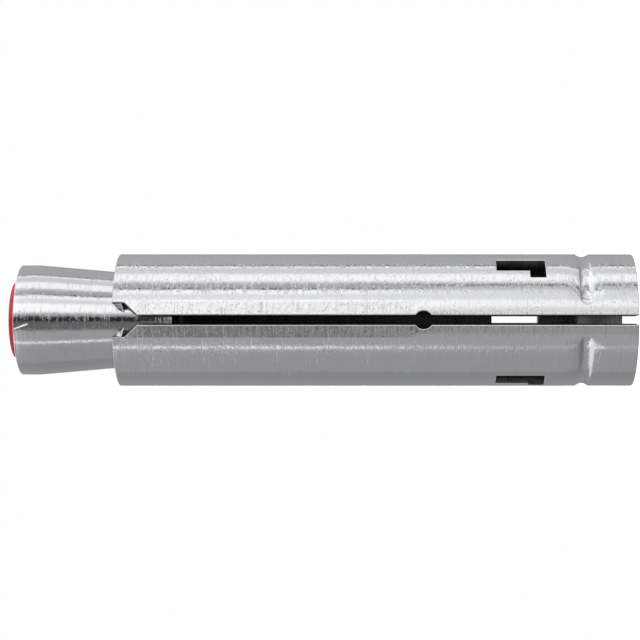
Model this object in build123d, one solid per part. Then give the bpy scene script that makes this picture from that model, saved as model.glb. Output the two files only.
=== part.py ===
"""Heavy-duty sleeve anchor with an internally threaded cone, for an M8 bolt in a 12 mm hole.

The sleeve is punched from sheet steel, beaded, and rolled into a tube whose seam stays open. The turned
steel cone sits in its mouth, and a plastic plug closes the far end of the cone's thread against dust.
The anchor stands on the open end of its sleeve: the origin is the middle of that end, +Z runs up the axis
to the cone, and the open seam faces -Y. Angles round the sleeve are counted from the seam towards +X.
"""
from build123d import *

import math
import os

# Thread of the bolt that the cone takes, in millimetres
thread_diameter = 8.0
thread_minor_diameter = 6.647

# Cone: the wall of its neck, its fit in the sleeve, and the lengths of its neck, taper and land
cone_neck_wall = 0.35
cone_neck_clearance = 0.05
cone_neck_length = 5.1
cone_taper_length = 7.3
cone_half_angle = 5.0
cone_head_land = 1.6
cone_edge_break = 0.12

# Plastic plug: the ring of the cone that it sits on, its fit in the pocket, and its heights
plug_seat_width = 0.18
plug_pocket_clearance = 0.05
plug_pocket_depth = 1.2
plug_stand_out = 0.7
plug_rim_radius = 0.18

# Sleeve blank
sheet_thickness = 1.6
sleeve_length = 46.4
edge_break = 0.12
pattern_count = 3

# Expansion slots, with the relief hole that ends each one and the flared mouth that starts it
slot_width = 0.86
relief_hole_diameter = 1.64
relief_hole_height = 18.96
mouth_width = 3.2
mouth_straight = 1.08
mouth_flare_angle = 45.0

# Lugs that are bent in at the corners of each mouth and hold the cone
lug_length = 0.9
lug_tip_spacing = 1.28
lug_clearance = 0.04

# L-shaped windows, one to each slot
window_foot = 8.06
window_height = 4.35
window_width = 1.66
window_edge_angle = 63.4
hook_height = 1.38
hook_width = 2.5

# Pressed beads near the open end, one between each two slots
bead_height = 4.56
bead_width = 1.27
bead_depth = 0.24
ridge_depth = 0.14
bead_end_angle = 13.6

# Radii that follow from the thread outwards
thread_radius = thread_minor_diameter / 2
cone_neck_radius = thread_diameter / 2 + cone_neck_wall
bore_radius = cone_neck_radius + cone_neck_clearance
outer_radius = bore_radius + sheet_thickness
cone_head_radius = cone_neck_radius + cone_taper_length * math.tan(math.radians(cone_half_angle))
pocket_radius = thread_radius + plug_seat_width
plug_radius = pocket_radius - plug_pocket_clearance

# Heights that follow from the sleeve's mouth
cone_foot = sleeve_length - cone_neck_length
cone_shoulder = sleeve_length + cone_taper_length
cone_top = cone_shoulder + cone_head_land
pocket_floor = cone_top - plug_pocket_depth

pattern_angle = 360 / pattern_count
cut_beyond = sheet_thickness


def on_seam_line(across, depth_radius, height):
    """A point beside the seam line: across it, out from the axis along -Y, and up."""
    return Vector(across, -depth_radius, height)


def slot_cutter(foot):
    """The cut that one slot makes in the wall: its flared mouth, its gap down to foot and its relief hole.

    The blank is punched flat and then rolled, so the flanks of the cut point at the axis."""
    half_mouth = mouth_width / 2
    half_slot = slot_width / 2
    flare_height = (half_mouth - half_slot) / math.tan(math.radians(mouth_flare_angle))
    flare_top = sleeve_length - mouth_straight
    outline = [
        (half_mouth, sleeve_length + cut_beyond),
        (half_mouth, flare_top),
        (half_slot, flare_top - flare_height),
        (half_slot, foot),
    ]
    outline += [(-across, height) for across, height in reversed(outline)]
    wires = []
    for radius in (bore_radius - cut_beyond, outer_radius + cut_beyond):
        share = radius / outer_radius
        points = [on_seam_line(across * share, radius, height) for across, height in outline]
        wires.append(Wire.make_polygon(points, close=True))
    gap = Solid.make_loft(wires, ruled=True)
    hole = Cylinder(relief_hole_diameter / 2, 2 * outer_radius, rotation=(90, 0, 0))
    return gap + Pos(0, -outer_radius, relief_hole_height) * hole


def ring_sector(inner, outer, foot, height, start_angle, end_angle):
    """A block of the wall between two radii and two angles from the seam."""
    profile = Pos((inner + outer) / 2, 0, foot + height / 2) * (
        Plane.XZ * Rectangle(outer - inner, height)
    )
    sector = revolve(profile, Axis.Z, end_angle - start_angle)
    return Rot(0, 0, start_angle - 90) * sector


def window_cutter():
    """The L-shaped window beside the first slot, with its hook at the foot."""
    strips = []
    for height, width in ((window_height, window_width), (hook_height, hook_width)):
        span = math.degrees(width / outer_radius)
        strips.append(
            ring_sector(
                bore_radius - cut_beyond / 2,
                outer_radius + cut_beyond / 2,
                window_foot,
                height,
                window_edge_angle - span,
                window_edge_angle,
            )
        )
    return strips[0] + strips[1]


def bead_start_angle():
    """The angle at which a bead's straight run starts, half its width in from its round end."""
    return bead_end_angle + math.degrees(bead_width / 2 / outer_radius)


def bead_roller():
    """The groove of one bead: a round-nosed tool run round the sleeve, with its nose spun at both ends."""
    nose_radius = (bead_width**2 / 4 + bead_depth**2) / (2 * bead_depth)
    tool_centre = outer_radius + nose_radius - bead_depth
    low = bead_height - nose_radius
    high = bead_height + nose_radius
    start = bead_start_angle()
    stop = pattern_angle - start
    with BuildSketch(Plane.XZ) as nose:
        with BuildLine():
            ThreePointArc((tool_centre, low), (outer_radius - bead_depth, bead_height), (tool_centre, high))
            Line((tool_centre, high), (tool_centre, low))
        make_face()
    groove = Rot(0, 0, start - 90) * revolve(nose.sketch, Axis.Z, stop - start)
    middle = Plane.XY.offset(bead_height)
    half_nose = split(nose.sketch, bisect_by=middle, keep=Keep.TOP)
    round_end = revolve(half_nose, Axis(middle.origin, (1, 0, 0)), 360)
    for angle in (start, stop):
        groove += Rot(0, 0, angle - 90) * round_end
    return groove


def bead_ridge():
    """The low ridge that one bead raises inside the tube, with flat ends."""
    start = bead_start_angle()
    crest = bore_radius - ridge_depth
    root = bore_radius + ridge_depth
    low = bead_height - bead_width / 2
    high = bead_height + bead_width / 2
    with BuildSketch(Plane.XZ) as section:
        with BuildLine():
            ThreePointArc((root, low), (crest, bead_height), (root, high))
            Line((root, high), (root, low))
        make_face()
    ridge = revolve(section.sketch, Axis.Z, pattern_angle - 2 * start)
    return Rot(0, 0, start - 90) * ridge


def mouth_lug(side):
    """One lug at the mouth of a slot: a corner of the sheet pressed in until its tip meets the cone."""
    flank_angle = side * math.atan(mouth_width / 2 / outer_radius)
    lug_foot = sleeve_length - lug_length
    tip_radius = cone_neck_radius + lug_clearance
    tip_across = side * lug_tip_spacing / 2

    def on_flank(radius, height):
        return on_seam_line(radius * math.sin(flank_angle), radius * math.cos(flank_angle), height)

    corners = (
        on_flank(outer_radius - edge_break, sleeve_length),
        on_flank(outer_radius, lug_foot),
        on_flank(bore_radius, lug_foot),
        on_seam_line(tip_across, math.sqrt(tip_radius**2 - tip_across**2), lug_foot),
    )
    faces = []
    for left_out in corners:
        triangle = [corner for corner in corners if corner is not left_out]
        faces.append(Face(Wire.make_polygon(triangle, close=True)))
    return Solid(Shell(faces))


def make_sleeve():
    """The rolled sleeve: its beads are pressed first, then come the slots, windows and lugs. The first slot
    runs out through the foot as the open seam."""
    tube = Cylinder(outer_radius, sleeve_length, align=(Align.CENTER, Align.CENTER, Align.MIN))
    tube = chamfer(tube.edges().filter_by(GeomType.CIRCLE), edge_break)
    sleeve = tube - Cylinder(bore_radius, 3 * sleeve_length)
    turns = [Rot(0, 0, index * pattern_angle) for index in range(pattern_count)]
    groove = bead_roller()
    ridge = bead_ridge()
    for turn in turns:
        sleeve -= turn * groove
        sleeve += turn * ridge
    window = window_cutter()
    for turn in turns:
        slot_foot = -cut_beyond if turn is turns[0] else relief_hole_height
        sleeve -= turn * slot_cutter(slot_foot)
        sleeve -= turn * window
        for side in (-1, 1):
            sleeve += turn * mouth_lug(side)
    return sleeve


def make_cone():
    """The turned cone nut: a land at its head, a long taper, a straight neck inside the sleeve, a tapped
    bore with a countersunk start, and the plug's pocket."""
    lead_in_radius = thread_diameter / 2
    lead_in_top = cone_foot + lead_in_radius - thread_radius
    with BuildSketch(Plane.XZ) as section:
        with BuildLine():
            Polyline(
                (lead_in_radius, cone_foot),
                (cone_neck_radius - cone_edge_break, cone_foot),
                (cone_neck_radius, cone_foot + cone_edge_break),
                (cone_neck_radius, sleeve_length),
                (cone_head_radius, cone_shoulder),
                (cone_head_radius, cone_top - cone_edge_break),
                (cone_head_radius - cone_edge_break, cone_top),
                (pocket_radius, cone_top),
                (pocket_radius, pocket_floor),
                (thread_radius, pocket_floor),
                (thread_radius, lead_in_top),
                close=True,
            )
        make_face()
    return revolve(section.sketch, Axis.Z)


def make_plug():
    """The plastic plug pressed into the head of the cone, standing a little proud of it."""
    height = plug_pocket_depth + plug_stand_out
    plug = Cylinder(plug_radius, height, align=(Align.CENTER, Align.CENTER, Align.MIN))
    rim = plug.edges().filter_by(GeomType.CIRCLE).sort_by(Axis.Z)[-1]
    return Pos(0, 0, pocket_floor) * fillet(rim, plug_rim_radius)


os.makedirs("parts", exist_ok=True)
pieces = {
    "expansion_sleeve": make_sleeve(),
    "cone_nut": make_cone(),
    "dust_plug": make_plug(),
}
for name, piece in pieces.items():
    export_step(piece, f"parts/{name}.step")
    print(name, "solids", len(piece.solids()), "volume", round(piece.volume, 1))
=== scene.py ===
"""Looks of a heavy-duty sleeve anchor: a slotted steel sleeve, a threaded cone nut and a red plastic plug.

It stands on the sleeve's open end, +Z up to the cone, with the open seam facing -Y. Lengths are in metres.
"""

import math

import bmesh
import bpy
from mathutils import Matrix, Vector


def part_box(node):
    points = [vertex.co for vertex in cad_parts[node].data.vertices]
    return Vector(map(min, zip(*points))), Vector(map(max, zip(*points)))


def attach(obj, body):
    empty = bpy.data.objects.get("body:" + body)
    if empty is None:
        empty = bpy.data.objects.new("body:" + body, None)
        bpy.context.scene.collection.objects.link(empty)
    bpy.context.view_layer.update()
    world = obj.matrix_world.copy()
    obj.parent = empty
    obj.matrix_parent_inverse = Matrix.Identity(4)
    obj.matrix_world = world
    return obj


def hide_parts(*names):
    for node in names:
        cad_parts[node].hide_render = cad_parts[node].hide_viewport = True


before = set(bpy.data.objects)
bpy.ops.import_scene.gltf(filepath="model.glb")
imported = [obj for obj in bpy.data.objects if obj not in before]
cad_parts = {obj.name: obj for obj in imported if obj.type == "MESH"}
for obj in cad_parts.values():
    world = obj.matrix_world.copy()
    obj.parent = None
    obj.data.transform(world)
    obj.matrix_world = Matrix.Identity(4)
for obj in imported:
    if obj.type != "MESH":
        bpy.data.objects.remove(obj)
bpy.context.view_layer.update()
mm = 0.001

# The camera stands before the open seam, level with the lower half of the sleeve. It lies on its side, so
# that the picture's right is the anchor's foot. The photograph's outlines don't converge, so the picture
# plane is parallel to the anchor, and the shift brings the anchor's middle to the middle of the frame.
_, sleeve_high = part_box("expansion_sleeve")
sleeve_radius = sleeve_high.x
camera_distance = 27.84 * sleeve_radius
camera_height = 22.0 * mm
frame_middle = 28.30 * mm
camera_data = bpy.data.cameras.new("camera")
camera_data.sensor_width = 36.0
camera_data.lens = 103.08
shift = (camera_height - frame_middle) / camera_distance
camera_data.shift_x = shift * camera_data.lens / camera_data.sensor_width
camera_data.clip_start = 0.01
camera_data.clip_end = 5.0
camera = bpy.data.objects.new("camera", camera_data)
bpy.context.scene.collection.objects.link(camera)
bpy.context.scene.camera = camera
camera_place = Vector((0.0, -camera_distance, camera_height))
backward = Vector((0.0, -1.0, 0.0))
picture_up = Vector((1.0, 0.0, 0.0))
turn = Matrix((picture_up.cross(backward), picture_up, backward)).transposed()
camera.matrix_world = Matrix.Translation(camera_place) @ turn.to_4x4()


# The studio: a pale round plinth, a white backdrop that fades out at its rim, and a plain grey room. An
# angle in the room is counted from the camera round towards +X, as the angles on the sleeve are.
class Socket:
    """The output of a node, with the maths written as plain expressions."""

    def __init__(self, tree, output):
        self.tree = tree
        self.output = output

    def maths(self, operation, *others):
        node = self.tree.nodes.new("ShaderNodeMath")
        node.operation = operation
        for place, value in zip(node.inputs, (self, *others)):
            if isinstance(value, Socket):
                self.tree.links.new(value.output, place)
            else:
                place.default_value = value
        return Socket(self.tree, node.outputs[0])

    def __add__(self, other):
        return self.maths("ADD", other)

    def __sub__(self, other):
        return self.maths("SUBTRACT", other)

    def __mul__(self, other):
        return self.maths("MULTIPLY", other)

    def __truediv__(self, other):
        return self.maths("DIVIDE", other)

    def __rsub__(self, other):
        return (self * -1.0).maths("ADD", other)

    __radd__ = __add__
    __rmul__ = __mul__

    def larger(self, other):
        return self.maths("MAXIMUM", other)

    def smaller(self, other):
        return self.maths("MINIMUM", other)

    def size(self):
        return self.maths("ABSOLUTE")

    def rise(self, low, high):
        """0 up to low, 1 from high on, and straight between them. The larger may come first."""
        return ((self - low) * (1.0 / (high - low))).smaller(1.0).larger(0.0)


class Nodes:
    """A node tree, with one method that makes any node."""

    def __init__(self, tree):
        self.tree = tree

    def node(self, kind, settings=None, values=None, output=0):
        made = self.tree.nodes.new(kind)
        for name, setting in (settings or {}).items():
            setattr(made, name, setting)
        for name, value in (values or {}).items():
            place = made.inputs[name]
            if isinstance(value, list):
                for each in value:
                    self.tree.links.new(each.output, place)
            elif isinstance(value, Socket):
                self.tree.links.new(value.output, place)
            else:
                place.default_value = value
        return Socket(self.tree, made.outputs[output]) if made.outputs else made

    def parts(self, vector):
        """The three coordinates of a vector."""
        split = self.node("ShaderNodeSeparateXYZ", values={"Vector": vector}).output.node
        return [Socket(self.tree, output) for output in split.outputs]


def new_paint(name):
    material = bpy.data.materials.new(name)
    material.use_nodes = True
    material.node_tree.nodes.clear()
    return material, Nodes(material.node_tree)


def finish_paint(nodes, surface):
    nodes.node("ShaderNodeOutputMaterial", values={"Surface": surface})


def seen_rays(nodes):
    """1 for rays from the camera, for mirrored rays and for rays through glass, else 0."""
    path = "ShaderNodeLightPath"
    seen = nodes.node(path, output="Is Camera Ray")
    seen = seen.larger(nodes.node(path, output="Is Glossy Ray"))
    return seen.larger(nodes.node(path, output="Is Transmission Ray"))


def studio_piece(name, shape, material):
    mesh = bpy.data.meshes.new(name)
    shape.to_mesh(mesh)
    shape.free()
    mesh.materials.append(material)
    made = bpy.data.objects.new(name, mesh)
    bpy.context.scene.collection.objects.link(made)
    return made


def upright_panel(width, height, matrix):
    """A flat sheet with its face along the matrix's Z axis."""
    shape = bmesh.new()
    bmesh.ops.create_grid(shape, x_segments=1, y_segments=1, size=0.5)
    bmesh.ops.transform(shape, matrix=matrix @ Matrix.Diagonal((width, height, 1.0, 1.0)), verts=shape.verts)
    return shape


def facing_axis(angle, distance, height):
    """The place of a lamp or card in the room: upright, at an angle round the anchor's axis."""
    outward = Vector((math.sin(angle), -math.cos(angle), 0.0))
    upright = Vector((0.0, 0.0, 1.0))
    turn = Matrix((upright.cross(outward), upright, outward)).transposed()
    return Matrix.Translation(outward * distance + upright * height) @ turn.to_4x4()


# The plinth glows a little by itself. Under the sleeve it glows as brightly as the backdrop, which shows
# where the seam ends: this is painted light over the shade that the sleeve casts there.
plinth_radius = 45 * mm
plinth_height = 4 * mm
plinth_gap = 0.01 * mm
plinth_colour = (0.86, 0.86, 0.86, 1.0)
white_edge, grey_edge = 6.0 * mm, 6.3 * mm
plinth_paint, nodes = new_paint("plinth_paint")
across, deep, _ = nodes.parts(nodes.node("ShaderNodeTexCoord", output="Object"))
from_axis = (across * across + deep * deep).maths("SQRT")
# Painted light: the plinth glows more under the sleeve, where the sleeve shades it.
painted_light_under_sleeve = from_axis.rise(grey_edge, white_edge)
matt = nodes.node("ShaderNodeBsdfDiffuse", values={"Color": plinth_colour})
glow = nodes.node("ShaderNodeEmission", values={"Strength": seen_rays(nodes) * (painted_light_under_sleeve * 0.6 + 0.4)})
finish_paint(nodes, nodes.node("ShaderNodeAddShader", values={0: matt, 1: glow}))
shape = bmesh.new()
bmesh.ops.create_cone(shape, cap_ends=True, segments=128, radius1=plinth_radius, radius2=plinth_radius,
                      depth=plinth_height)
bmesh.ops.translate(shape, vec=(0.0, 0.0, -plinth_height / 2 - plinth_gap), verts=shape.verts)
plinth = studio_piece("plinth", shape, plinth_paint)
plinth.visible_glossy = False

backdrop_place = Vector((0.0, 1.0, 0.0743))
backdrop_half = 0.212
backdrop_fade = 0.03
backdrop_paint, nodes = new_paint("backdrop_paint")
across, _, up = nodes.parts(nodes.node("ShaderNodeTexCoord", output="Object"))
from_middle = across.size().larger((up - backdrop_place.z).size())
shown = from_middle.rise(backdrop_half + backdrop_fade, backdrop_half) * seen_rays(nodes)
clear = nodes.node("ShaderNodeBsdfTransparent")
white = nodes.node("ShaderNodeEmission", values={"Strength": 1.0})
finish_paint(nodes, nodes.node("ShaderNodeMixShader", values={0: shown, 1: clear, 2: white}))
backdrop_side = 2 * (backdrop_half + backdrop_fade)
standing = Matrix.Translation(backdrop_place) @ Matrix.Rotation(math.pi / 2, 4, "X")
studio_piece("backdrop", upright_panel(backdrop_side, backdrop_side, standing), backdrop_paint)

# The room is brighter towards +X and above, with a bright ceiling, and dimmer straight behind the anchor.
room_colour = (0.985, 0.99, 1.0, 1.0)
ceiling_start, ceiling_full, ceiling_light = 0.37, 0.45, 0.75
world = bpy.data.worlds.new("room")
bpy.context.scene.world = world
world.use_nodes = True
world.node_tree.nodes.clear()
nodes = Nodes(world.node_tree)
towards_x, behind, upwards = nodes.parts(nodes.node("ShaderNodeTexCoord", output="Generated"))
dim_behind = behind.larger(0.0).maths("POWER", 8.0) * -0.30
room_light = towards_x * 0.15 + upwards * upwards.size() * 0.28 + dim_behind + 0.60
room_light = room_light + upwards.rise(ceiling_start, ceiling_full) * ceiling_light
grey_room = nodes.node("ShaderNodeBackground", values={"Color": room_colour, "Strength": room_light})
nodes.node("ShaderNodeOutputWorld", values={"Surface": grey_room})

# Each lamp is an upright strip that faces the anchor: the angles and heights where it starts and stops, and
# its brightness, which adds to the room's.
lamp_distance = 0.4
room_foot, shade_foot, room_top = -0.27, 16 * mm, 0.33
lamps = {
    "side_softbox": (66.5, 106.8, room_foot, room_top, 0.44),
    "side_softbox_middle": (70.0, 86.5, 2 * room_foot, room_top, 0.67),
    "side_softbox_edge": (102.3, 106.8, room_foot, room_top, 0.75),
    "key_softbox": (14.0, 53.5, 2 * room_foot, room_top, 0.69),
    "key_softbox_middle": (17.0, 35.0, shade_foot, room_top, 0.62),
    "key_softbox_middle_foot": (23.0, 35.0, 2 * room_foot, shade_foot, 0.44),
    "key_softbox_edge": (45.5, 53.5, shade_foot, room_top, 0.50),
    "key_softbox_foot": (3.0, 14.0, room_foot, shade_foot, 0.76),
    "key_softbox_spill": (53.5, 61.0, room_foot, shade_foot, 0.30),
    "low_edge_strip": (-50.8, -45.8, shade_foot, room_top, 0.90),
    "low_edge_spill": (-50.8, -45.8, room_foot, shade_foot, 0.22),
    "low_fill": (-102.0, -24.0, room_foot, room_top, 0.11),
}
for name, (start, stop, foot, top, brightness) in lamps.items():
    lamp = bpy.data.lights.new(name, "AREA")
    lamp.shape = "RECTANGLE"
    lamp.size = 2 * lamp_distance * math.tan(math.radians(stop - start) / 2)
    lamp.size_y = top - foot
    lamp.energy = brightness * math.pi * lamp.size * lamp.size_y
    holder = bpy.data.objects.new(name, lamp)
    holder.matrix_world = facing_axis(math.radians(start + stop) / 2, lamp_distance, (foot + top) / 2)
    holder.visible_camera = False
    bpy.context.scene.collection.objects.link(holder)

# The metal also mirrors dark things: the camera, its grey stand and the black rims of the softboxes. Each is
# a card with its angles and heights and its tone.
card_distance = 0.3
cards = {
    "camera_card": (-3.4, 7.8, shade_foot, room_top, 0.03),
    "stand_card": (-21.5, -3.4, shade_foot, room_top, 0.27),
    "side_rim": (106.8, 109.4, room_foot, room_top, 0.03),
    "key_rim": (53.6, 56.2, shade_foot, room_top, 0.03),
    "key_rim_foot": (61.2, 63.2, room_foot, shade_foot, 0.03),
}
for name, (start, stop, foot, top, tone) in cards.items():
    card_paint, nodes = new_paint(name + "_paint")
    finish_paint(nodes, nodes.node("ShaderNodeBsdfDiffuse", values={"Color": (tone, tone, tone, 1.0)}))
    card_width = 2 * card_distance * math.tan(math.radians(stop - start) / 2)
    card_place = facing_axis(math.radians(start + stop) / 2, card_distance, (foot + top) / 2)
    card = studio_piece(name, upright_panel(card_width, top - foot, card_place), card_paint)
    card.visible_camera = False
    card.visible_shadow = False
    card.visible_diffuse = False

# The sleeve is one piece of sheet steel, punched flat in three equal thirds, beaded near its foot and
# rolled into a tube. Its seam stays open, and two more slots end at relief holes.
sheet = 1.6 * mm
rim_break = 0.045 * mm
on_rim = 0.001
thirds = 3
third_width = 2 * math.pi * sleeve_radius / thirds
sleeve_length = sleeve_high.z

slot_half = 0.43 * mm
hole_radius = 0.82 * mm
hole_height = 18.96 * mm
mouth_half = 1.6 * mm
mouth_straight = 1.08 * mm
zone_width = 2.5 * mm
seam_zone = zone_width + 0.01 * mm

window_foot = 8.06 * mm
window_top = window_foot + 4.35 * mm
hook_top = window_foot + 1.38 * mm
window_far_edge = math.radians(63.4) * sleeve_radius
window_near_edge = window_far_edge - 1.66 * mm
hook_edge = window_far_edge - 2.5 * mm

bead_height = 4.56 * mm
bead_half = 0.62 * mm
bead_depth = 0.24 * mm
ridge_depth = 0.14 * mm
bead_start = 2.06 * mm

# The punch coined a low flat beside each slot, down to this height. The foot's face is dished on the
# inside, and beside each mouth the lugs have thinned the sheet.
coin_foot = 19.78 * mm
foot_dish = 0.18 * mm
foot_dish_rise = 0.5 * mm
lug_length = 0.80 * mm
lug_root = 0.55 * mm
lug_pull = 0.5 * mm


def rolled_length(across):
    """The length along the rolled sheet that lies behind a distance across the seam's front."""
    return sleeve_radius * math.atan(across / sleeve_radius)


def slot_edge(height):
    """Half the width of a slot at a height: its mouth, its gap, its relief hole, and 0 below that."""
    flare_top = sleeve_length - mouth_straight
    flare_foot = flare_top - (mouth_half - slot_half)
    if height >= flare_foot:
        return rolled_length(min(slot_half + height - flare_foot, mouth_half))
    above_hole = height - hole_height
    if abs(above_hole) > hole_radius:
        return rolled_length(slot_half) if above_hole > 0 else 0.0
    hole_half = math.sqrt(max(hole_radius**2 - above_hole**2, 0.0))
    if above_hole > 0:
        hole_half = max(hole_half, slot_half)
    return rolled_length(hole_half)


def spaced(stops, step):
    """The stops in order, with even steps between each two."""
    line = [stops[0]]
    for start, stop in zip(stops, stops[1:]):
        count = max(1, math.ceil((stop - start) / step - 1e-6))
        line += [start + (stop - start) * number / count for number in range(1, count + 1)]
    return line


def beside(*edges):
    """Each edge with two lines close on both sides, which hold its broken corner."""
    return [edge + side * rim_break for edge in edges for side in (-2, -1, 0, 1, 2)]


def zone_line(edge):
    """The columns of the strip beside a slot whose edge is there: close at the edge, then even up to the
    crease where the coined flat ends, and even beyond it."""
    crease_gap = 0.06 * mm
    crease_half = 0.02 * mm
    columns = 8
    close = [edge, edge + rim_break, edge + 2 * rim_break]
    crease = max(rolled_length(mouth_half), close[-1] + crease_gap)
    before, after = crease - crease_half, crease + crease_half
    inner = [close[-1] + (before - close[-1]) * number / columns for number in range(1, columns + 1)]
    outer = [after + (zone_width - after) * number / columns for number in range(columns + 1)]
    return close + inner + [crease] + outer


def flat_third():
    """One third of the punched sheet, flat: X along the rolled length, Y up the sleeve."""
    row_step = 1.4 * mm
    column_step = 0.14 * mm
    hole_steps = 18
    bead_steps = 9
    hole_start = math.asin(slot_half / hole_radius)
    hole_rows = [
        hole_height + hole_radius * math.cos(hole_start + (math.pi - hole_start) * number / hole_steps)
        for number in range(hole_steps + 1)
    ]
    bead_rows = [
        bead_height + bead_half * number / bead_steps for number in range(-bead_steps, bead_steps + 1)
    ]
    flare_top = sleeve_length - mouth_straight
    stops = [0.0, rim_break, 2 * rim_break, *bead_rows, *beside(window_foot, hook_top, window_top)]
    stops += hole_rows
    stops += [flare_top - (mouth_half - slot_half), flare_top, sleeve_length - lug_length]
    stops += [sleeve_length - 2 * rim_break, sleeve_length - rim_break, sleeve_length]
    rows = spaced(sorted(stops), row_step)
    window_edges = beside(hook_edge, window_near_edge, window_far_edge)
    middle = spaced([zone_width, *window_edges, third_width - zone_width], column_step)[1:-1]

    shape = bmesh.new()
    slack = shape.verts.layers.float.new("slack")
    grid = []
    for height in rows:
        edge = slot_edge(height)
        closed = zone_line(edge)
        opened = zone_line(max(edge, rolled_length(slot_half)))
        line = []
        for place, moved in zip(closed, opened):
            vertex = shape.verts.new((place, height, 0.0))
            vertex[slack] = moved - place
            line.append(vertex)
        line += [shape.verts.new((place, height, 0.0)) for place in middle]
        for place, moved in zip(reversed(closed), reversed(opened)):
            vertex = shape.verts.new((third_width - place, height, 0.0))
            vertex[slack] = place - moved
            line.append(vertex)
        grid.append(line)
    for low_line, high_line, low, high in zip(grid, grid[1:], rows, rows[1:]):
        height = (low + high) / 2
        for number in range(len(low_line) - 1):
            place = (low_line[number].co.x + low_line[number + 1].co.x) / 2
            window_edge = hook_edge if height < hook_top else window_near_edge
            if window_foot < height < window_top and window_edge < place < window_far_edge:
                continue
            corners = (low_line[number], low_line[number + 1], high_line[number + 1], high_line[number])
            shape.faces.new(corners)
    loose = [vertex for vertex in shape.verts if not vertex.link_faces]
    bmesh.ops.delete(shape, geom=loose, context="VERTS")
    mesh = bpy.data.meshes.new("flat_third")
    shape.to_mesh(mesh)
    shape.free()
    return mesh


def new_geometry_tree(name, sizes):
    """An empty geometry tree with named inputs, and those inputs as sockets."""
    tree = bpy.data.node_groups.new(name, "GeometryNodeTree")
    tree.interface.new_socket(name="Geometry", in_out="INPUT", socket_type="NodeSocketGeometry")
    tree.interface.new_socket(name="Geometry", in_out="OUTPUT", socket_type="NodeSocketGeometry")
    for size in sizes:
        tree.interface.new_socket(name=size, in_out="INPUT", socket_type="NodeSocketFloat")
    tree.interface.new_socket(name="Material", in_out="INPUT", socket_type="NodeSocketMaterial")
    given = tree.nodes.new("NodeGroupInput")
    return Nodes(tree), {output.name: Socket(tree, output) for output in given.outputs if output.name}


def close_tree(nodes, shape, given):
    """Ends a geometry tree in plain faces with their material."""
    real = nodes.node("GeometryNodeRealizeInstances", values={"Geometry": shape})
    smooth = nodes.node("GeometryNodeSetShadeSmooth", values={"Geometry": real})
    painted = nodes.node("GeometryNodeSetMaterial", values={
        "Geometry": smooth, "Material": given["Material"]})
    nodes.node("NodeGroupOutput", values={"Geometry": painted})


def worked_mesh(name, mesh, tree, sizes):
    """The plain mesh that comes out when a geometry tree works on a mesh."""
    blank = bpy.data.objects.new(name + "_blank", mesh)
    bpy.context.scene.collection.objects.link(blank)
    modifier = blank.modifiers.new("work", "NODES")
    modifier.node_group = tree
    for item in tree.interface.items_tree:
        if item.in_out == "INPUT" and item.name in sizes:
            modifier[item.identifier] = sizes[item.name]
    graph = bpy.context.evaluated_depsgraph_get()
    made = bpy.data.meshes.new_from_object(blank.evaluated_get(graph))
    made.name = name
    blank.modifiers.remove(modifier)
    bpy.data.objects.remove(blank)
    return made


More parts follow.
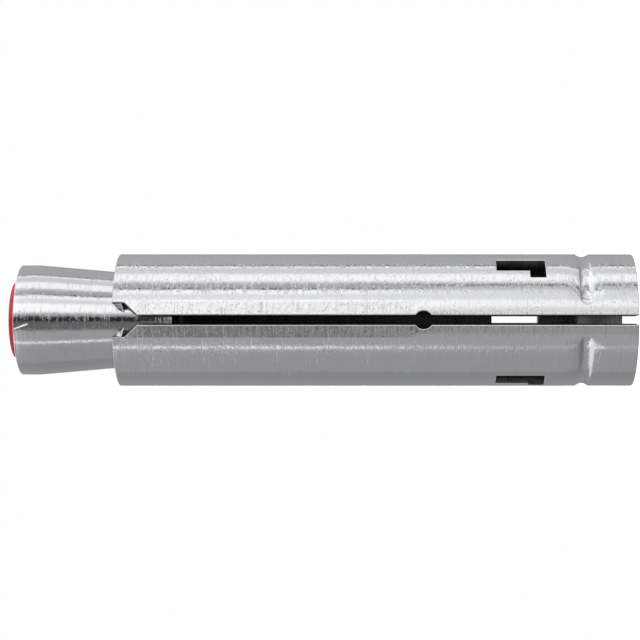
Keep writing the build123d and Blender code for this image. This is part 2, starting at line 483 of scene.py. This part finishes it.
def rolling_tree():
    """Sets three flat thirds side by side, opens the seam, presses the beads, gives the sheet its
    thickness with broken edges, and rolls it up round the Z axis. The rolled foot is dished a little, and
    beside each mouth the lugs have pulled the sheet thin from the inside."""
    sizes = ("Radius", "Third Width", "Sheet", "Rim Break", "Seam Zone", "Bead Height", "Bead Start",
             "Bead Half Width", "Bead Depth", "Ridge Depth", "Coin Start", "Coin End", "Coin Foot",
             "Foot Dish", "Foot Dish Rise", "Length", "Lug Length", "Lug Root", "Lug Pull")
    nodes, given = new_geometry_tree("roll_sleeve", sizes)
    radius, width = given["Radius"], given["Third Width"]
    weld_thirds, weld_faces = 0.001 * mm, 0.0001 * mm
    offset = nodes.node("ShaderNodeCombineXYZ", values={"X": width})
    line = nodes.node("GeometryNodeMeshLine", values={"Count": thirds, "Offset": offset})
    copies = nodes.node("GeometryNodeInstanceOnPoints", values={
        "Points": line, "Instance": given["Geometry"]})
    sheets = nodes.node("GeometryNodeRealizeInstances", values={"Geometry": copies})

    along, height, _ = nodes.parts(nodes.node("GeometryNodeInputPosition"))
    slack = nodes.node("GeometryNodeInputNamedAttribute", {"data_type": "FLOAT"}, {"Name": "slack"})
    zone = given["Seam Zone"]
    at_start = (zone - along).maths("GREATER_THAN", 0.0)
    at_stop = (along - width * thirds + zone).maths("GREATER_THAN", 0.0)
    opening = nodes.node("ShaderNodeCombineXYZ", values={"X": slack * (at_start + at_stop)})
    sheets = nodes.node("GeometryNodeSetPosition", values={"Geometry": sheets, "Offset": opening})
    sheets = nodes.node("GeometryNodeMergeByDistance", values={"Geometry": sheets, "Distance": weld_thirds})

    faces_there = nodes.node("GeometryNodeInputMeshEdgeNeighbors")
    single_face = faces_there.maths("LESS_THAN", 1.5)
    outline = nodes.node("GeometryNodeFieldOnDomain", {"domain": "EDGE", "data_type": "FLOAT"},
                         {0: single_face})
    sheets = nodes.node("GeometryNodeStoreNamedAttribute", {"data_type": "FLOAT", "domain": "POINT"},
                        {"Geometry": sheets, "Name": "rim", "Value": outline})
    down = nodes.node("ShaderNodeCombineXYZ", values={"Z": given["Sheet"] * -1.0})
    pushed = nodes.node("GeometryNodeExtrudeMesh", {"mode": "FACES"},
                        {"Mesh": sheets, "Offset": down, "Individual": False})
    pushed = nodes.node("GeometryNodeFlipFaces", values={"Mesh": pushed})
    solid = nodes.node("GeometryNodeJoinGeometry", values={"Geometry": [pushed, sheets]})
    solid = nodes.node("GeometryNodeMergeByDistance", values={"Geometry": solid, "Distance": weld_faces})

    along, height, depth = nodes.parts(nodes.node("GeometryNodeInputPosition"))
    inner = depth * -1.0 / given["Sheet"]
    rim = nodes.node("GeometryNodeInputNamedAttribute", {"data_type": "FLOAT"}, {"Name": "rim"})
    broken = rim.maths("GREATER_THAN", on_rim) * given["Rim Break"]
    in_third = along.maths("FLOORED_MODULO", width)
    to_slot = in_third.smaller(width - in_third)
    past_run = (given["Bead Start"] - to_slot).larger(0.0)
    from_line = height - given["Bead Height"]
    from_bead = past_run * past_run + from_line * from_line
    pressed = (1.0 - from_bead / (given["Bead Half Width"] * given["Bead Half Width"])).larger(0.0)
    half_coin = (given["Coin End"] - given["Coin Start"]) / radius * 0.5
    from_coin = to_slot / radius - (given["Coin End"] + given["Coin Start"]) / radius * 0.5
    fade_start, fade_stop = -0.3 * mm, 0.1 * mm
    above_foot = (height - given["Coin Foot"]).rise(fade_start, fade_stop)
    inside_coin = (half_coin - from_coin.size()).maths("GREATER_THAN", 0.0) * above_foot
    chord = half_coin.maths("COSINE") / from_coin.maths("COSINE") - 1.0
    coined = chord * radius * inside_coin
    solid = nodes.node("GeometryNodeStoreNamedAttribute", {"data_type": "FLOAT", "domain": "POINT"},
                       {"Geometry": solid, "Name": "coined", "Value": inside_coin * (1.0 - inner)})
    outer_face = coined - pressed * given["Bead Depth"] - broken
    inner_face = broken - given["Sheet"] - pressed * given["Ridge Depth"]
    by_mouth = (1.0 - (to_slot - given["Coin End"]) / given["Lug Pull"]).smaller(1.0).larger(0.0)
    by_end = ((height - given["Length"]) / given["Lug Length"] + 1.0).larger(0.0)
    inner_face = inner_face + by_mouth * by_end * (given["Sheet"] - given["Lug Root"])
    distance = radius + outer_face * (1.0 - inner) + inner_face * inner
    angle = along / radius
    dished = (1.0 - height / given["Foot Dish Rise"]).larger(0.0) * given["Foot Dish"] * inner
    rolled = nodes.node("ShaderNodeCombineXYZ", values={
        "X": distance * angle.maths("SINE"),
        "Y": distance * angle.maths("COSINE") * -1.0,
        "Z": height + dished,
    })
    solid = nodes.node("GeometryNodeSetPosition", values={"Geometry": solid, "Position": rolled})
    close_tree(nodes, solid, given)
    return nodes.tree


def lug_shape(shape, slot_angle, side):
    """One lug: a corner of the mouth pressed in as a sharp prong, its tip near the cone. Its skin is the
    sheet's plated outside, set in deepest at the end, with a crease where it was bent. Its sides where the
    steel tore are darkened, partly as dark steel and partly as painted shade. The skin between the tear and
    the crease, and more so beyond the crease, is brightened above the plating as painted highlights."""
    tip_radius, tip_across, tip_drop = 4.39 * mm, 0.64 * mm, 0.09 * mm
    into_wall = 0.03 * mm
    end_dip, crease_dip = 0.35 * mm, 0.33 * mm
    torn_share, crease_share = 0.12, 0.66
    flank = math.atan(mouth_half / sleeve_radius) + into_wall / sleeve_radius
    tip_turn = math.asin(tip_across / tip_radius)
    bore = sleeve_radius - sheet
    high, low = sleeve_length - rim_break / 2, sleeve_length - lug_length
    places = (
        (flank, sleeve_radius - end_dip, high),
        (flank, sleeve_radius - crease_dip, high + (low - high) * torn_share),
        (flank, sleeve_radius - crease_dip, high + (low - high) * crease_share),
        (flank, sleeve_radius - rim_break, low),
        (flank, bore + rim_break, low),
        (flank, sleeve_radius - lug_root, high),
        (tip_turn, tip_radius, low - tip_drop),
    )
    corners = []
    for angle, radius, height in places:
        turned = slot_angle + side * angle
        corners.append(shape.verts.new((radius * math.sin(turned), -radius * math.cos(turned), height)))
    middle = sum((corner.co for corner in corners), Vector()) / len(corners)
    # A side is as dark as steel where it tore at 1, as the plating at 0, and brighter than the plating below
    # 0. The dark sides are partly painted shade, and the brighter sides are painted highlights.
    dull_and_painted_light = shape.faces.layers.float["dull_and_painted_light"]
    # Painted highlights on the two brighter skin faces, partly painted shade on the dark sides.
    torn_dark_and_painted_shade, pressed, painted_glint = 1.0, -0.5, -0.8
    sides = {
        (0, 1, 6): torn_dark_and_painted_shade,
        (1, 2, 6): pressed,
        (2, 3, 6): painted_glint,
        (3, 4, 6): torn_dark_and_painted_shade,
        (4, 5, 6): torn_dark_and_painted_shade,
        (5, 0, 6): torn_dark_and_painted_shade,
        (0, 1, 2, 3, 4, 5): torn_dark_and_painted_shade,
    }
    for side_corners, dullness in sides.items():
        face = shape.faces.new([corners[number] for number in side_corners])
        face.normal_update()
        if face.normal.dot(face.calc_center_median() - middle) < 0:
            face.normal_flip()
        face[dull_and_painted_light] = dullness


def mark_dark_and_painted_shade_faces(shape):
    """The sheared flanks are dark all over, partly as bare sheared steel and partly as painted shade. The
    inside is nearly as dark, which is painted shade in the bore. The cut ends are only a little dark, and
    the broken corner at the mouth is darker than its end."""
    flank_dark_and_painted_shade, end_dull, inside_painted_shade, corner_dull = 1.0, 0.25, 0.8, 0.6
    close_by, beyond_bore = 0.01 * mm, 0.06 * mm
    inside = sleeve_radius - sheet + beyond_bore
    dull_and_painted_light = shape.faces.layers.float.new("dull_and_painted_light")
    rim = shape.verts.layers.float["rim"]
    for face in shape.faces:
        heights = [vertex.co.z for vertex in face.verts]
        at_end = min(heights) > sleeve_length - close_by or max(heights) < close_by
        if min(vertex[rim] for vertex in face.verts) > on_rim:
            # Partly painted shade: the sheared flanks are darkened.
            face[dull_and_painted_light] = end_dull if at_end else flank_dark_and_painted_shade
        elif max(vertex.co.xy.length for vertex in face.verts) < inside:
            # Painted shade: the inside of the sleeve is darkened.
            face[dull_and_painted_light] = inside_painted_shade
        elif max(heights) > sleeve_length - close_by:
            face[dull_and_painted_light] = corner_dull


def plated_steel(name, tone, look):
    """Zinc-plated steel: wavy patches, short streaks and faint lines round the piece, specks, fine hairs
    They tilt and roughen the surface and hardly colour it, so they show most where bright and dark parts of
    the room meet in it. Where the piece is marked, the plating is darker and matt: this is the steel's own
    dullness and also painted shade inside the bore and on shaded faces. Where the mark is below 0 the colour
    is brightened instead, as a painted highlight."""
    material, nodes = new_paint(name)
    where = nodes.node("ShaderNodeTexCoord", output="Object")
    dull_and_painted_light = nodes.node("ShaderNodeAttribute", {"attribute_name": "dull_and_painted_light"}, output="Fac")
    coined = nodes.node("ShaderNodeAttribute", {"attribute_name": "coined"}, output="Fac")

    def grain(round_scale, up_scale, detail, shift=0.0):
        """Noise with its own number of spots to the millimetre round the piece and up it."""
        place = nodes.node("ShaderNodeMapping", values={
            "Vector": where,
            "Location": (shift, shift, shift),
            "Scale": (round_scale / mm, round_scale / mm, up_scale / mm),
        })
        return nodes.node("ShaderNodeTexNoise", values={"Vector": place, "Scale": 1.0, "Detail": detail})

    def scratches(round_scale, up_scale, width, shift):
        """Thin lines that follow stretched noise and break off where another noise is low."""
        line = (grain(round_scale, up_scale, 0.0, shift) - 0.5).size().rise(width, 0.0)
        return line * grain(0.8, 0.8, 1.0, shift + 50.0).rise(0.54, 0.60)

    def nick(start, end, half_width):
        """A straight cut in the front of the piece, between two points given across the seam and up."""
        across, deep, up = nodes.parts(where)
        run = Vector(end) - Vector(start)
        reached = ((across - start[0]) * run.x + (up - start[1]) * run.y) * (1.0 / run.length_squared)
        reached = reached.smaller(1.0).larger(0.0)
        beside_x = across - start[0] - reached * run.x
        beside_z = up - start[1] - reached * run.y
        distance = (beside_x * beside_x + beside_z * beside_z).maths("SQRT")
        return distance.rise(half_width, 0.0) * deep.maths("LESS_THAN", 0.0)

    lines = grain(0.15, look["lines_per_mm"], 3.0)
    patches = grain(0.4, 0.6, 4.0, shift=7.0)
    streaks = grain(1.2, 3.2, 3.0, shift=37.0)
    specks = grain(3.4, 5.2, 1.0, shift=21.0).rise(0.62, 0.72)
    hairs = grain(0.5, 7.0, 1.0, shift=61.0).rise(0.58, 0.72)
    marks = (specks * 0.8 + hairs * 0.8 + scratches(0.10, 0.40, look["scratch"], 13.0)).smaller(1.0)

    zinc = (tone, tone * 1.004, tone * 1.022)
    dull_and_painted_light_darkens, dull_roughens = 0.88, 0.28
    smoothest = 0.06
    # Painted shade and painted highlight: the mark darkens the colour above 0 and brightens it below 0.
    brightness = (lines - 0.5) * 0.04 + (patches - 0.5) * 0.05 + 1.0 - dull_and_painted_light * dull_and_painted_light_darkens
    brightness = brightness - marks * (coined * 0.09 + 0.07)
    colour = nodes.node("ShaderNodeVectorMath", {"operation": "SCALE"}, {0: zinc, "Scale": brightness})
    uneven = (patches - 0.5) * 0.12 + (streaks - 0.5) * look["streaks"]
    rough = uneven + marks * look["marks"] + coined * 0.05 + dull_and_painted_light * dull_roughens + look["rough"]
    height = lines * look["line_height"] + patches * look["patch_height"] - marks * look["mark_height"]
    height = height + streaks * (coined + 1.0) * look["streak_height"]
    if "nick" in look:
        height = height - nick(*look["nick"]) * look["nick_depth"]
    bump = nodes.node("ShaderNodeBump", values={"Height": height, "Distance": 1.0 * mm, "Strength": 1.0})
    steel = nodes.node("ShaderNodeBsdfPrincipled", values={
        "Base Color": colour, "Metallic": 1.0, "Roughness": rough.larger(smoothest), "Normal": bump})
    finish_paint(nodes, steel)
    return material


sleeve_steel = plated_steel("sleeve_steel", 0.50, {
    "lines_per_mm": 5.5, "scratch": 0.006, "marks": 0.18, "streaks": 0.24, "rough": 0.13,
    "line_height": 0.001, "patch_height": 0.016, "mark_height": 0.009, "streak_height": 0.014})
sleeve_mesh = worked_mesh("sleeve_sheet", flat_third(), rolling_tree(), {
    "Radius": sleeve_radius, "Third Width": third_width, "Sheet": sheet, "Rim Break": rim_break,
    "Seam Zone": seam_zone, "Bead Height": bead_height, "Bead Start": bead_start,
    "Bead Half Width": bead_half, "Bead Depth": bead_depth, "Ridge Depth": ridge_depth,
    "Coin Start": rolled_length(slot_half), "Coin End": rolled_length(mouth_half), "Coin Foot": coin_foot,
    "Foot Dish": foot_dish, "Foot Dish Rise": foot_dish_rise, "Length": sleeve_length,
    "Lug Length": lug_length, "Lug Root": lug_root, "Lug Pull": lug_pull, "Material": sleeve_steel})
shape = bmesh.new()
shape.from_mesh(sleeve_mesh)
mark_dark_and_painted_shade_faces(shape)
for face in shape.faces:
    face.smooth = True
    face.material_index = 0
for number in range(thirds):
    for side in (-1, 1):
        lug_shape(shape, math.radians(360 / thirds * number), side)
shape.to_mesh(sleeve_mesh)
shape.free()
sleeve_mesh.materials.clear()
sleeve_mesh.materials.append(sleeve_steel)
sleeve_mesh.set_sharp_from_angle(angle=math.radians(60))
sleeve = bpy.data.objects.new("sleeve", sleeve_mesh)
bpy.context.scene.collection.objects.link(sleeve)
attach(sleeve, "root")
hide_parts("expansion_sleeve")

# The cone nut is turned from bar: a land at its head, a long taper, a neck that sits in the sleeve, and an
# M8 thread cut through it, countersunk at the foot, with a pocket for the plug at the head.
cone_low, cone_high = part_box("cone_nut")
cone_top, cone_foot = cone_high.z, cone_low.z
cone_head_radius = cone_high.x
cone_neck_radius = 4.35 * mm
cone_land = 1.6 * mm
cone_break = 0.05 * mm
thread_minor = 3.3235 * mm
thread_major = 4.0 * mm
thread_pitch = 1.25 * mm
pocket_radius = 3.5035 * mm
pocket_depth = 1.2 * mm
pocket_rim = 0.05 * mm
cone_weld = 0.0005 * mm


def thread_tree():
    """Bends a flat grid, X round and Y up, into a bore with a helical thread that fades out at its ends."""
    sizes = ("Minor Radius", "Major Radius", "Pitch", "Foot", "Top", "Run Out")
    nodes, given = new_geometry_tree("cut_thread", sizes)
    turn, height, _ = nodes.parts(nodes.node("GeometryNodeInputPosition"))
    phase = (height - turn * (1.0 / (2 * math.pi)) * given["Pitch"]) / given["Pitch"]
    wave = (phase.maths("FLOORED_MODULO", 1.0) - 0.5).size() * 2.0
    crest_end, root_start = 0.22, 0.86
    groove = wave.rise(crest_end, root_start)
    at_foot = ((height - given["Foot"]) / given["Run Out"]).smaller(1.0).larger(0.0)
    at_top = ((given["Top"] - height) / given["Run Out"]).smaller(1.0).larger(0.0)
    depth = (given["Major Radius"] - given["Minor Radius"]) * groove * at_top
    countersink = (given["Major Radius"] - given["Minor Radius"]) * (1.0 - at_foot)
    radius = given["Minor Radius"] + depth.larger(countersink)
    place = nodes.node("ShaderNodeCombineXYZ", values={
        "X": radius * turn.maths("SINE"), "Y": radius * turn.maths("COSINE") * -1.0, "Z": height})
    bore = nodes.node("GeometryNodeSetPosition", values={"Geometry": given["Geometry"], "Position": place})
    bore = nodes.node("GeometryNodeMergeByDistance", values={"Geometry": bore, "Distance": cone_weld})
    close_tree(nodes, bore, given)
    return nodes.tree


def turned_rings(shape, profile, segments):
    """Rings of points round the axis for a profile of radius and height, joined by faces."""
    rings = []
    for radius, height in profile:
        ring = []
        for number in range(segments):
            angle = 2 * math.pi * number / segments
            ring.append(shape.verts.new((radius * math.sin(angle), -radius * math.cos(angle), height)))
        rings.append(ring)
    for low, high in zip(rings, rings[1:]):
        for number in range(segments):
            following = (number + 1) % segments
            shape.faces.new((low[number], low[following], high[following], high[number]))
    return rings


def corner_arc(centre_radius, centre_height, size, start, stop, steps=4):
    """Points of a small round corner, from one angle to another in degrees, 0 pointing outwards."""
    angles = [math.radians(start + (stop - start) * number / steps) for number in range(steps + 1)]
    return [(centre_radius + size * math.cos(a), centre_height + size * math.sin(a)) for a in angles]


def spaced_profile(start, stop, count):
    """Even points from after one profile point up to another."""
    return [
        (start[0] + (stop[0] - start[0]) * number / count, start[1] + (stop[1] - start[1]) * number / count)
        for number in range(1, count + 1)
    ]


def cone_mesh(material):
    """The turned outside and pocket, joined to the bore with its thread."""
    segments = 288
    rows = 112
    taper_steps = 8
    beside_corner = 0.1 * mm
    beyond_thread = 0.01 * mm
    thread_painted_shade = 0.85
    shoulder = cone_top - cone_land
    pocket_floor = cone_top - pocket_depth
    outside = corner_arc(cone_neck_radius - cone_break, cone_foot + cone_break, cone_break, -90, 0)
    outside += [(cone_neck_radius, sleeve_length - beside_corner), (cone_neck_radius, sleeve_length)]
    outside += spaced_profile(outside[-1], (cone_head_radius, shoulder), taper_steps)
    outside += [(cone_head_radius, shoulder + beside_corner)]
    outside += corner_arc(cone_head_radius - cone_break, cone_top - cone_break, cone_break, 0, 90)
    outside += [(pocket_radius + pocket_rim, cone_top), (pocket_radius, cone_top - pocket_rim)]
    outside += [(pocket_radius, pocket_floor), (thread_minor, pocket_floor)]
    shape = bmesh.new()
    turned_rings(shape, [(thread_major, cone_foot)] + outside, segments)
    bore_blank = bmesh.new()
    turns = [2 * math.pi * number / segments for number in range(segments + 1)]
    grid = []
    for row in range(rows + 1):
        height = cone_foot + (pocket_floor - cone_foot) * row / rows
        grid.append([bore_blank.verts.new((turn, height, 0.0)) for turn in turns])
    for low, high in zip(grid, grid[1:]):
        for number in range(segments):
            bore_blank.faces.new((low[number + 1], low[number], high[number], high[number + 1]))
    blank = bpy.data.meshes.new("bore_blank")
    bore_blank.to_mesh(blank)
    bore_blank.free()
    bore = worked_mesh("thread_bore", blank, thread_tree(), {
        "Minor Radius": thread_minor, "Major Radius": thread_major, "Pitch": thread_pitch,
        "Foot": cone_foot, "Top": pocket_floor, "Run Out": thread_major - thread_minor,
        "Material": material})
    shape.from_mesh(bore)
    bmesh.ops.remove_doubles(shape, verts=shape.verts, dist=cone_weld)
    dull_and_painted_light = shape.faces.layers.float.new("dull_and_painted_light")
    for face in shape.faces:
        face.smooth = True
        face.material_index = 0
        # Painted shade: the thread inside the bore is darkened.
        in_bore = max(vertex.co.xy.length for vertex in face.verts) < thread_major + beyond_thread
        in_thread = in_bore and face.calc_center_median().z < pocket_floor
        face[dull_and_painted_light] = thread_painted_shade if in_thread else 0.0
    mesh = bpy.data.meshes.new("cone")
    shape.to_mesh(mesh)
    shape.free()
    mesh.materials.clear()
    mesh.materials.append(material)
    mesh.set_sharp_from_angle(angle=math.radians(40))
    return mesh


# The front of the cone's head has one short straight nick.
nick_start = (-0.77 * mm, 55.22 * mm)
nick_end = (-0.35 * mm, 54.05 * mm)
nick_half_width = 0.075 * mm
cone_steel = plated_steel("cone_steel", 0.48, {
    "lines_per_mm": 3.2, "scratch": 0.004, "marks": 0.14, "streaks": 0.16, "rough": 0.12,
    "line_height": 0.010, "patch_height": 0.010, "mark_height": 0.004, "streak_height": 0.012,
    "nick": (nick_start, nick_end, nick_half_width), "nick_depth": 0.030})
cone = bpy.data.objects.new("cone", cone_mesh(cone_steel))
bpy.context.scene.collection.objects.link(cone)
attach(cone, "root")
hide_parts("cone_nut")

# The dust plug is moulded in red plastic and pressed into the cone's pocket. It stands a little proud,
# with a rounded rim and a shallow dish in its face.
plug_low, plug_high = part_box("dust_plug")
plug_radius = plug_high.x
plug_rim = 0.08 * mm
plug_foot_rim = 0.06 * mm
plug_land = 0.75 * mm
plug_dish = 0.08 * mm
plug_dish_slope = 0.2 * mm


def plug_mesh(material):
    """The plug's outside, turned round the axis from the middle of its foot to the middle of its face."""
    segments = 160
    middle = 0.02 * mm
    face_radius = plug_radius - plug_land
    dish_height = plug_high.z - plug_dish
    half_way = (face_radius - plug_dish_slope / 2, plug_high.z - 0.4 * plug_dish)
    profile = [(middle, plug_low.z)]
    profile += corner_arc(plug_radius - plug_foot_rim, plug_low.z + plug_foot_rim, plug_foot_rim, -90, 0)
    profile += corner_arc(plug_radius - plug_rim, plug_high.z - plug_rim, plug_rim, 0, 90, 6)
    profile += [(face_radius, plug_high.z), half_way]
    profile += [(face_radius - plug_dish_slope, dish_height), (middle, dish_height)]
    shape = bmesh.new()
    rings = turned_rings(shape, profile, segments)
    shape.faces.new(list(reversed(rings[0])))
    shape.faces.new(rings[-1])
    for face in shape.faces:
        face.smooth = True
    mesh = bpy.data.meshes.new("plug")
    shape.to_mesh(mesh)
    shape.free()
    mesh.materials.append(material)
    mesh.set_sharp_from_angle(angle=math.radians(50))
    return mesh


def red_plastic():
    """Moulded red plastic with a fine spark-eroded grain and a colour that varies a little."""
    red = (0.42, 0.006, 0.018)
    grain_depth = 0.003 * mm
    material, nodes = new_paint("plug_plastic")
    where = nodes.node("ShaderNodeTexCoord", output="Object")

    def noise(spots_per_mm, detail):
        """Noise with its number of spots to the millimetre."""
        scale = spots_per_mm / mm
        place = nodes.node("ShaderNodeMapping", values={"Vector": where, "Scale": (scale, scale, scale)})
        return nodes.node("ShaderNodeTexNoise", values={"Vector": place, "Scale": 1.0, "Detail": detail})

    grain = noise(6, 3.0)
    broad = noise(0.7, 2.0)
    brightness = (broad - 0.5) * 0.25 + 1.0
    colour = nodes.node("ShaderNodeVectorMath", {"operation": "SCALE"}, {0: red, "Scale": brightness})
    bump = nodes.node("ShaderNodeBump", values={"Height": grain, "Distance": grain_depth, "Strength": 1.0})
    plastic = nodes.node("ShaderNodeBsdfPrincipled", values={
        "Base Color": colour, "Roughness": (grain - 0.5) * 0.15 + 0.38, "Normal": bump})
    finish_paint(nodes, plastic)
    return material


plug = bpy.data.objects.new("plug", plug_mesh(red_plastic()))
bpy.context.scene.collection.objects.link(plug)
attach(plug, "root")
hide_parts("dust_plug")

# The picture keeps plain colours.
bpy.context.scene.view_settings.view_transform = "Standard"
